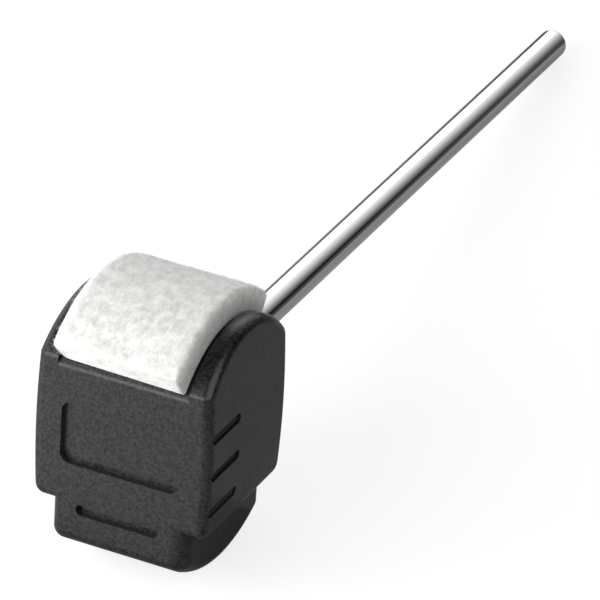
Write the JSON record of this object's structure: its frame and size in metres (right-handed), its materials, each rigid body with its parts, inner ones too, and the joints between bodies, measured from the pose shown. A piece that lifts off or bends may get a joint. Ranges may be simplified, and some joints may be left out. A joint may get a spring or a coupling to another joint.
{
  "type": "bass drum beater",
  "caption": "Bass drum pedal beater: block head with a curved felt face and a crowned hard plastic face, on a long chromed rod held by the pedal's clamp.",
  "frame": {"origin": "on the rod's axis, where the rod leaves the head's back face", "axes": "+Y along the rod towards its free end, +Z towards the felt face, +X to the right of someone who looks at the front face"},
  "size_m": [0.047, 0.2621, 0.0713],
  "materials": {
    "chromed_steel": "polished",
    "zinc_plated_steel": "bright zinc",
    "spring_steel": "oiled",
    "moulded_nylon": "fine moulded satin",
    "adhesive": "cured contact cement",
    "wool_felt": "pressed wool felt"
  },
  "bodies": {
    "root": {"shaft": "chromed_steel", "back_washer": "zinc_plated_steel", "inner_washer": "zinc_plated_steel", "lock_washer": "spring_steel", "shaft_nut": "zinc_plated_steel", "shaft_pin": "spring_steel", "head_shell": "moulded_nylon", "felt_carrier": "moulded_nylon", "carrier_screws": "zinc_plated_steel", "felt_adhesive": "adhesive", "felt_pad": "wool_felt"}
  },
  "joints": []
}
